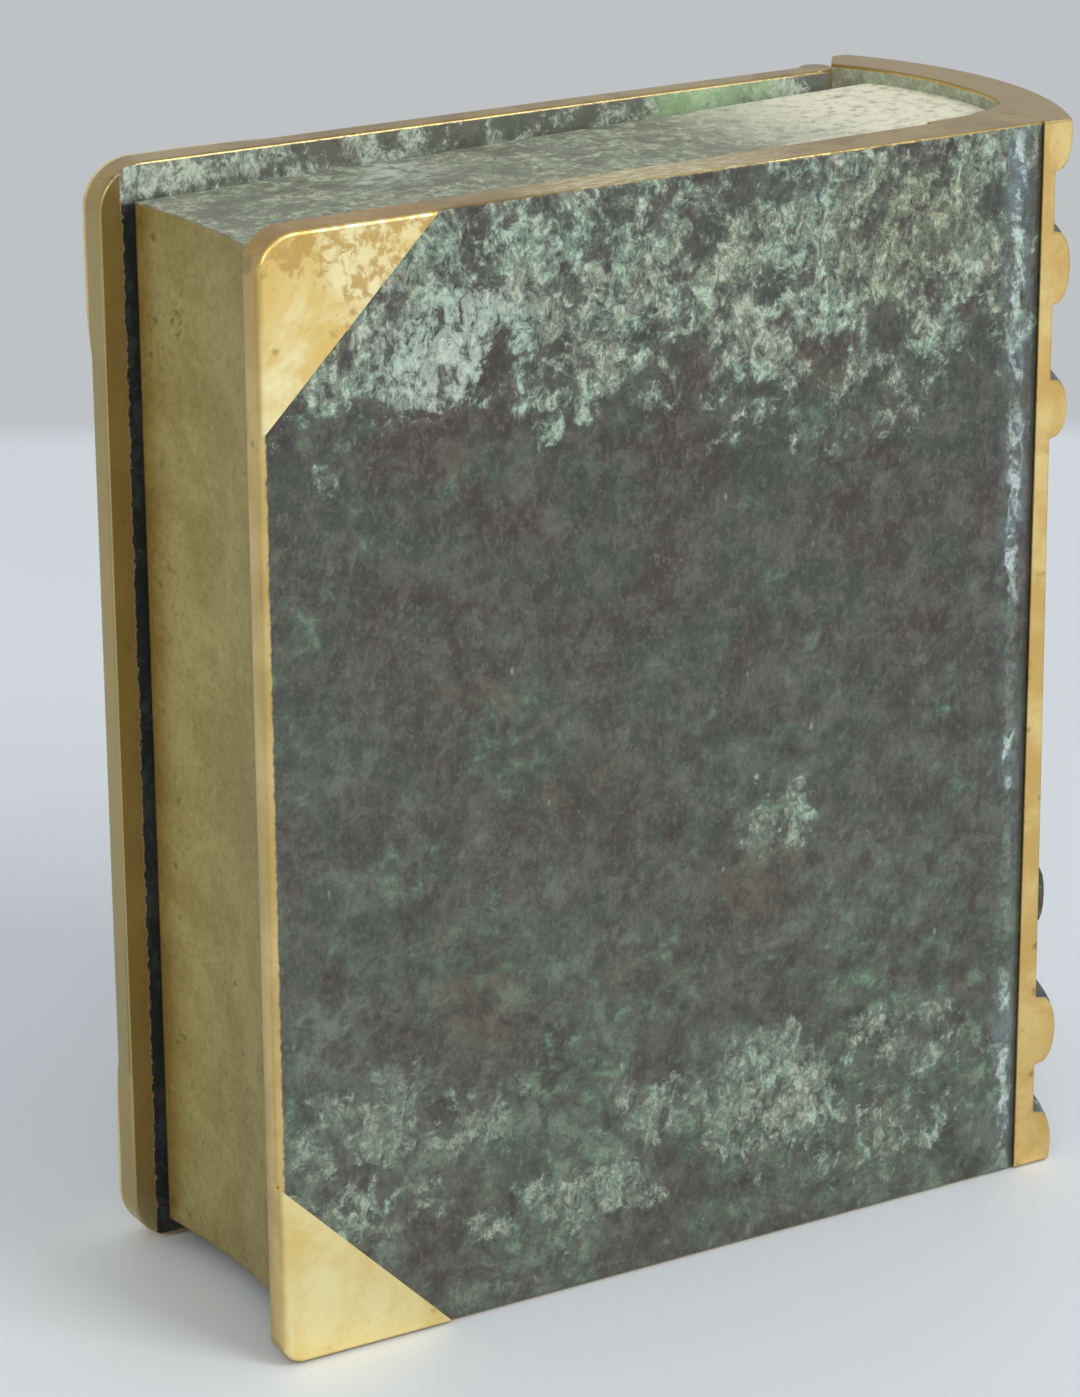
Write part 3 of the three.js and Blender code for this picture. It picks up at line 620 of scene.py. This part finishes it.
    # Painted glints: near-white sparks along the filing marks of the worn patch
    bright = product(tree, worn, soft_step(tree, filed, 0.46, 0.58))
    rim["Color"] = blend(tree, product(tree, bright, 0.85), rim["Color"], RIM_GLINT)
    coat = {"Color": skin, "Roughness": patina["Roughness"], "Height": patina["Height"]}
    return finish.partly(share, coat, rim, 0.6)


def make_mount_brass():
    """Polished brass, stained in blotches near the head; the lid's mounts are patinated on their inner side."""
    finish = Finish("mount_brass")
    tree = finish.tree
    head = finish.beyond(finish.z, HEIGHT / 2)
    near_head = soft_step(tree, finish.z, HEIGHT - 10 * MM, HEIGHT - 3.5 * MM)
    inner = soft_step(tree, finish.x, FORE_EDGE_X + 6 * MM, FORE_EDGE_X + 13 * MM)
    stained = product(tree, strongest(tree, [near_head, inner]), head, finish.below(finish.y, 0.0))
    tarnish = reckon(tree, "MULTIPLY_ADD", stained, 0.62, 0.05)
    face = finish.brass(*MOUNT_GOLD, tarnish, 0.3)
    # Painted highlight: the mounts' faces are paler in the lower half of the book
    lit = product(tree, finish.below(finish.z, HEIGHT / 2), 0.35)
    face["Color"] = blend(tree, lit, face["Color"], MOUNT_LIT)
    side = product(tree, finish.beyond(finish.z, HEIGHT - 16 * MM, 0, 8), finish.below(finish.y, 0.0))
    edge = finish.edge_brass()
    edge["Color"] = blend(tree, product(tree, side, 0.4), edge["Color"], MOUNT_SIDE)
    on_face = reckon(tree, "MAXIMUM", finish.below(finish.y, FIELD_Y - 0.05 * MM, 0.0, 0.25),
                     finish.beyond(finish.y, LID_OUTER_Y - 0.4 * MM, 0.0, 0.25))
    face["Color"] = blend(tree, on_face, edge["Color"], face["Color"])
    return finish.partly(inner_field(finish), inner_coat(finish, 0.0), face, 0.12)


def make_page_brass():
    """The cast pages: smooth olive brass, with a green-grey skin on the head that turns paler towards the spine."""
    finish = Finish("page_brass")
    tree = finish.tree
    level = reckon(tree, "MULTIPLY_ADD", finish.x, -HEAD_SLOPE, finish.z)
    on_head = finish.beyond(level, BLOCK_HEAD_Z - HEAD_SLOPE * BLOCK[1][0] - 0.12 * MM, 0.3, 0.06)
    spineward = soft_step(tree, finish.x, 10 * MM, 40 * MM)
    wander = noise(tree, finish.place, 110, 5, 0.6, 0.5)
    bloom = reckon(tree, "MULTIPLY_ADD", soft_step(tree, wander, 0.40, 0.60), 0.4, 0.5)
    patina = finish.patina(bloom, 0.6, 0.1, 0.6)
    head_grain = noise(tree, finish.place, 500, 6, 0.7)
    spineward_pale = product(tree, spineward, soft_step(tree, head_grain, 0.22, 0.56))
    grey = blend(tree, 0.20, patina["Color"], PAGE_GREY)
    patch = product(tree, finish.patch((-24, 8, 136), (8, 6, 4), 0.5), soft_step(tree, head_grain, 0.4, 0.55))
    grey = blend(tree, product(tree, patch, 0.7), grey, PAGE_PATCH)
    skin = blend(tree, product(tree, spineward_pale, 0.95), grey, PAGE_PALE)
    coat = {"Color": skin, "Roughness": patina["Roughness"], "Height": patina["Height"]}
    stains = strongest(tree, [
        product(tree, finish.patch((-55, 6.6, 121), (20, 3, 5), 0.9), 0.55),
        product(tree, finish.patch((-55, 13, 66), (20, 2, 4), 0.9), 0.45),
        0.10,
    ])
    pits = reckon(tree, "MULTIPLY_ADD", finish.patch((-55, 8, 118), (20, 7, 12), 0.8), 1.6, 0.5)
    near_cover = soft_step(tree, finish.y, -6 * MM, -15 * MM)
    brass = finish.brass(*PAGE_OLIVE, stains, pits)
    brass["Color"] = blend(tree, product(tree, near_cover, 0.45), brass["Color"], PAGE_SHADE)
    grit = noise(tree, finish.place, 1100, 7, 0.78, 0.3)
    brass["Color"] = blend(tree, product(tree, soft_step(tree, grit, 0.51, 0.66), 0.42), brass["Color"],
                           GRIT_DARK)
    brass["Color"] = blend(tree, product(tree, soft_step(tree, grit, 0.48, 0.34), 0.35), brass["Color"],
                           GRIT_LIGHT)
    return finish.partly(on_head, coat, brass, 0.18, 0.3)


def make_spine_brass():
    """The spine: patina on its round and inside, with painted light inside near the head, polished ends and a brown
    crown.
    """
    finish = Finish("spine_brass")
    tree = finish.tree
    centre = put(tree, "ShaderNodeCombineXYZ", None, {0: SHELL_AXIS[0], 1: SHELL_AXIS[1], 2: finish.z}).outputs[0]
    radius = put(tree, "ShaderNodeVectorMath", {"operation": "DISTANCE"},
                 {0: finish.place, 1: centre}).outputs["Value"]
    wander = noise(tree, finish.place, 60, 4, 0.6)
    outside = finish.beyond(radius, SHELL_RADIUS - 1.1 * MM, 0.0, 0.2)
    inside = finish.below(radius, SHELL_RADIUS - SHELL_THICKNESS + 0.2 * MM, 0.3, 0.1)
    share = reckon(tree, "MAXIMUM", outside, inside)
    for kept in (finish.below(finish.z, HEIGHT - 0.45 * MM, 0.3, 0.1), finish.beyond(finish.z, 0.3 * MM),
                 finish.beyond(finish.y, SPINE_NEAR_Y + 0.5 * MM, 0.4, 0.15),
                 finish.below(finish.y, SPINE_FAR_Y - 0.3 * MM, 0.4, 0.1)):
        share = product(tree, share, kept)
    near_head = soft_step(tree, finish.z, HEIGHT - 9 * MM, HEIGHT - 4 * MM)
    patina = finish.patina(reckon(tree, "MULTIPLY_ADD", wander, 0.5, near_head), 0.6, 0.2)
    # Painted light: the inside of the shell is lightened near the head
    patina["Color"] = blend(tree, product(tree, near_head, inside, 0.5), patina["Color"], SPINE_INSIDE_PAINTED_LIGHT)
    crown = finish.beyond(finish.z, HEIGHT - 0.3 * MM, 0.0, 0.2)
    brass = finish.brass(*SPINE_GOLD, 0.12, 0.5)
    brass["Color"] = blend(tree, product(tree, crown, 0.85), brass["Color"], CROWN_BROWN)
    return finish.partly(share, patina, brass, 0.18, 0.45)


def inner_field(finish):
    """Where the lid's inner face is patinated: short of its brass edges."""
    return product(
        finish.tree,
        finish.below(finish.y, LID_INNER_Y + 0.3 * MM, 0.3, 0.08),
        finish.beyond(finish.y, 0.0),
        finish.beyond(finish.x, FORE_EDGE_X + 3.0 * MM, 1.4, 0.15),
        finish.beyond(finish.z, 0.6 * MM, 0.6, 0.15),
        finish.below(finish.z, HEIGHT - 0.35 * MM, 0.3, 0.1),
    )


def inner_coat(finish, outward):
    """Swirled pale patina on the lid's inner face; where outward is 1, the outer face's darker field."""
    tree = finish.tree
    wander = noise(tree, finish.place, 90, 6, 0.65, 0.6)
    fore_edge_side = soft_step(tree, finish.x, 15 * MM, -30 * MM)
    inner_bloom = reckon(tree, "MULTIPLY_ADD", soft_step(tree, wander, 0.40, 0.56), 0.64,
                         reckon(tree, "MULTIPLY_ADD", fore_edge_side, 0.22, 0.14))
    drift = reckon(tree, "MULTIPLY_ADD", noise(tree, finish.place, 42, 5, 0.6, 0.5), 60 * MM, finish.z)
    ends = reckon(tree, "MAXIMUM", soft_step(tree, drift, 128 * MM, 152 * MM),
                  soft_step(tree, drift, 66 * MM, 42 * MM))
    bloom = reckon(tree, "ADD", product(tree, outward, ends, 0.85),
                   product(tree, reckon(tree, "SUBTRACT", 1.0, outward), inner_bloom))
    green_patch = product(tree, finish.patch((26, 16.7, 138), (11, 20, 10), 0.4),
                          reckon(tree, "SUBTRACT", 1.0, outward))
    sized = reckon(tree, "MULTIPLY_ADD", outward, 0.26, 0.74)
    coarser = put(tree, "ShaderNodeVectorMath", {"operation": "SCALE"}, {0: finish.place, 3: sized}).outputs[0]
    patina = finish.patina(bloom, reckon(tree, "MAXIMUM", green_patch, 0.45), 0.1, 0.0, coarser)
    tone = put(tree, "ShaderNodeRGBToBW", None, {0: patina["Color"]}).outputs[0]
    within = reckon(tree, "SUBTRACT", 1.0, outward)
    lifted = blend(tree, product(tree, soft_step(tree, tone, 0.10, 0.46), within, 0.58), patina["Color"],
                   INNER_WHITE)
    lifted = blend(tree, product(tree, within, 0.24), lifted, INNER_GREY)
    skin = blend(tree, product(tree, green_patch, soft_step(tree, wander, 0.38, 0.56), 0.7),
                 lifted, INNER_GREEN)
    # Painted shade: the inner face turns near-black beside the pages, where the gap lies in shadow
    gap_shade = product(tree, finish.below(finish.x, FORE_EDGE_X + 9 * MM, 1, 1.5),
                    finish.below(finish.z, HEIGHT - 4.6 * MM, 1, 0.6), finish.below(finish.y, LID_INNER_Y + MM))
    skin = blend(tree, product(tree, gap_shade, 0.94), skin, GAP_PAINTED_SHADE)
    rough = reckon(tree, "MAXIMUM", patina["Roughness"], product(tree, gap_shade, 0.95))
    return {"Color": skin, "Roughness": rough, "Height": patina["Height"]}


def make_lid_patina():
    """Patina on both faces of the lid, a strip of painted shade where it meets the pages, and brass edges."""
    finish = Finish("lid_patina")
    tree = finish.tree
    outward = finish.beyond(finish.y, (LID_INNER_Y + LID_OUTER_Y) / 2)
    coat = inner_coat(finish, outward)
    inner = inner_field(finish)
    outer = finish.beyond(finish.y, LID_OUTER_Y - 0.35 * MM, 0.4, 0.1)
    share = reckon(tree, "MAXIMUM", inner, outer)
    return finish.partly(share, coat, finish.edge_brass(), 0.3)


def make_hinge_brass():
    """Dull stained brass for the hinge and the plate inside the lid."""
    finish = Finish("hinge_brass")
    return finish.bare(finish.brass(*HINGE_GOLD, 0.5, 0.3), 0.15, 0.1)


COVER_PATINA = make_cover_patina()
MOUNT_BRASS = make_mount_brass()
PAGE_BRASS = make_page_brass()
SPINE_BRASS = make_spine_brass()
LID_PATINA = make_lid_patina()
HINGE_BRASS = make_hinge_brass()


# Pieces worked up from the solids
def choose(*things):
    """Selects these things alone, the last one as the active one."""
    bpy.ops.object.select_all(action="DESELECT")
    for thing in things:
        thing.select_set(True)
    bpy.context.view_layer.objects.active = things[-1]


def dress(thing, material):
    thing.data.materials.clear()
    thing.data.materials.append(material)


def merged_copy(node, name):
    """A copy of a solid with its loose triangles merged into clean faces."""
    copy = bpy.data.objects.new(name, bpy.data.objects[node].data.copy())
    bpy.context.scene.collection.objects.link(copy)
    choose(copy)
    bpy.ops.mesh.customdata_custom_splitnormals_clear()
    bpy.ops.object.mode_set(mode="EDIT")
    bpy.ops.mesh.select_all(action="SELECT")
    bpy.ops.mesh.remove_doubles(threshold=SAME_CORNER)
    bpy.ops.mesh.dissolve_limited(angle_limit=FLAT)
    bpy.ops.object.mode_set(mode="OBJECT")
    return copy


def apply_last(thing):
    """Makes a thing's last modifier part of its mesh."""
    choose(thing)
    bpy.ops.object.modifier_apply(modifier=thing.modifiers[-1].name)


def soften(thing):
    """Shades the turns smooth and keeps the hard edges."""
    choose(thing)
    bpy.ops.object.shade_smooth_by_angle(angle=SMOOTH_TURN)
    even = thing.modifiers.new("even_normals", "WEIGHTED_NORMAL")
    even.keep_sharp = True
    even.weight = 100
    apply_last(thing)


def finish_piece(thing, body, slot, material, *nodes):
    """Gives a piece and the solids that it stands for their material, and says where it belongs."""
    dress(thing, material)
    for node in nodes:
        dress(bpy.data.objects[node], material)
    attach(thing, body)
    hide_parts(*nodes)


def make_plain_copies():
    """Covers, mounts and pages, whose rounded edges are already in the solids."""
    finishes = (
        ("back_cover", "back_board", "case", "patinated_brass", COVER_PATINA),
        ("back_corner_tail", "back_mount_tail", "case", "polished_brass", MOUNT_BRASS),
        ("back_corner_head", "back_mount_head", "case", "polished_brass", MOUNT_BRASS),
        ("lid", "front_board", "lid", "patinated_brass", LID_PATINA),
        ("lid_corner_tail", "front_mount_tail", "lid", "polished_brass", MOUNT_BRASS),
        ("lid_corner_head", "front_mount_head", "lid", "polished_brass", MOUNT_BRASS),
        ("page_block", "cast_pages", "case", "satin_brass", PAGE_BRASS),
    )
    for node, name, body, slot, material in finishes:
        copy = merged_copy(node, name)
        if "mount" in name:
            inward = -SEAM if name.endswith("head") else SEAM
            choose(copy)
            bpy.ops.transform.translate(value=(SEAM, 0, inward))
            bpy.ops.object.transform_apply(location=True, rotation=True, scale=True)
        soften(copy)
        finish_piece(copy, body, slot, material, node)


def reach_from_axis(point):
    """How far a point is from the axis of the spine's round."""
    return math.hypot(point.x - SHELL_AXIS[0], point.y - SHELL_AXIS[1])


def make_cast_spine():
    """The shell and its raised bands as the one casting that they look like."""
    spine = merged_copy("spine_shell", "cast_spine")
    nodes = ["spine_band_" + name for name in BAND_NAMES]
    for node in nodes:
        band = merged_copy(node, "part_" + node)
        choose(band)
        bpy.ops.transform.translate(value=(-BAND_OVERLAP, 0, 0))
        bpy.ops.object.transform_apply(location=True, rotation=True, scale=True)
        union = spine.modifiers.new("union", "BOOLEAN")
        union.operation = "UNION"
        union.solver = "EXACT"
        union.object = band
        apply_last(spine)
        bpy.data.objects.remove(band)
    choose(spine)
    bpy.ops.object.mode_set(mode="EDIT")
    bpy.ops.mesh.select_all(action="SELECT")
    bpy.ops.mesh.remove_doubles(threshold=SAME_CORNER_CAST)
    bpy.ops.mesh.dissolve_limited(angle_limit=FLAT_CAST)
    bpy.ops.mesh.select_mode(type="EDGE")
    bpy.ops.mesh.select_all(action="DESELECT")
    bpy.ops.object.mode_set(mode="OBJECT")
    for edge in spine.data.edges:
        ends = [spine.data.vertices[number].co for number in edge.vertices]
        edge.select = all(end.z > HEIGHT - 0.01 * MM and reach_from_axis(end) > SHELL_RADIUS + MM for end in ends)
    bpy.ops.object.mode_set(mode="EDIT")
    bpy.ops.mesh.bevel(offset=HEAD_WEAR, offset_type="OFFSET", segments=3, affect="EDGES", clamp_overlap=True)
    bpy.ops.object.mode_set(mode="OBJECT")
    soften(spine)
    finish_piece(spine, "case", "band_brass", SPINE_BRASS, "spine_shell", *nodes)


# Solids that keep their own mesh: the plate inside the lid and the hinge's parts
PLAIN_NODES = ("lid_rebate_plate", "hinge_leaf", "hinge_rivet_1", "hinge_rivet_2", "hinge_rivet_3", "hinge_pin")

make_plain_copies()
make_cast_spine()
for name in PLAIN_NODES:
    dress(bpy.data.objects[name], HINGE_BRASS)


# Floor, light and camera

# The photograph is seen along this turn; the table ends this far off, over a soft edge
VIEW_TURN = math.radians(-30.8)
TABLE_DEPTH = 0.357
TABLE_EDGE = 0.012
FLOOR_SIZE = 4.0
FLOOR_Z = -0.3 * MM

# The camera, fitted to the edges in the photograph
CAMERA_PLACE = (-0.29912, -0.48473, 0.26682)
CAMERA_ANGLES = (70.7212, 0.3135, -30.9321)
CAMERA_LENS = 123.33
CAMERA_SENSOR = 36.0

# Each lamp's place, its width and height in metres, and its power in watts
WINDOW = ((0.50, -1.09, 1.0), (0.7, 0.6), 9.4)
FRONT = ((-0.9, -1.2, 0.9), (0.8, 0.6), 5.0)
MIDDLE_OF_BOOK = (0.0, 0.0, 0.07)


def make_floor():
    """A pale table top, and behind its far edge the same sheet as a plain grey backdrop."""
    bpy.ops.object.select_all(action="DESELECT")
    bpy.ops.mesh.primitive_plane_add(size=FLOOR_SIZE, location=(0.0, 0.0, FLOOR_Z))
    floor = bpy.context.object
    floor.name = "floor"
    bpy.ops.object.transform_apply(location=True, rotation=True, scale=True)
    material = bpy.data.materials.new("pale_floor")
    material.use_nodes = True
    tree = material.node_tree
    surface = tree.nodes["Principled BSDF"]
    surface.inputs["Base Color"].default_value = FLOOR_GREY
    surface.inputs["Roughness"].default_value = 0.5
    surface.inputs["Specular IOR Level"].default_value = 0.25
    place = put(tree, "ShaderNodeTexCoord").outputs["Object"]
    away = turned(tree, place, angles=(0, 0, math.degrees(-VIEW_TURN)))
    depth = split(tree, away)[1]
    beyond = soft_step(tree, depth, TABLE_DEPTH - TABLE_EDGE, TABLE_DEPTH + TABLE_EDGE)
    backdrop = put(tree, "ShaderNodeEmission", None, {"Color": BACKDROP_GREY, "Strength": 1.0}).outputs[0]
    both = put(tree, "ShaderNodeMixShader", None, {0: beyond, 1: surface.outputs[0], 2: backdrop}).outputs[0]
    join(tree, tree.nodes["Material Output"].inputs["Surface"], both)
    floor.data.materials.append(material)


def make_world():
    """A pale grey all round."""
    world = bpy.data.worlds.new("studio")
    bpy.context.scene.world = world
    world.use_nodes = True
    backdrop = world.node_tree.nodes["Background"]
    backdrop.inputs["Color"].default_value = STUDIO_GREY
    backdrop.inputs["Strength"].default_value = 1.0


def soft_lamp(name, place, size, power):
    """A rectangle of soft light that faces the book."""
    lamp = bpy.data.lights.new(name, "AREA")
    lamp.shape = "RECTANGLE"
    lamp.size, lamp.size_y = size
    lamp.energy = power
    thing = bpy.data.objects.new(name, lamp)
    bpy.context.scene.collection.objects.link(thing)
    thing.location = place
    thing.rotation_euler = (Vector(MIDDLE_OF_BOOK) - Vector(place)).to_track_quat("-Z", "Y").to_euler()


def make_camera():
    """The photograph's camera."""
    camera = bpy.data.cameras.new("camera")
    camera.sensor_width = CAMERA_SENSOR
    camera.lens = CAMERA_LENS
    camera.clip_start = 0.01
    thing = bpy.data.objects.new("camera", camera)
    bpy.context.scene.collection.objects.link(thing)
    thing.location = CAMERA_PLACE
    thing.rotation_euler = tuple(math.radians(angle) for angle in CAMERA_ANGLES)
    bpy.context.scene.camera = thing


make_floor()
make_world()
soft_lamp("window", *WINDOW)
soft_lamp("front", *FRONT)
make_camera()
bpy.context.scene.view_settings.view_transform = "Standard"
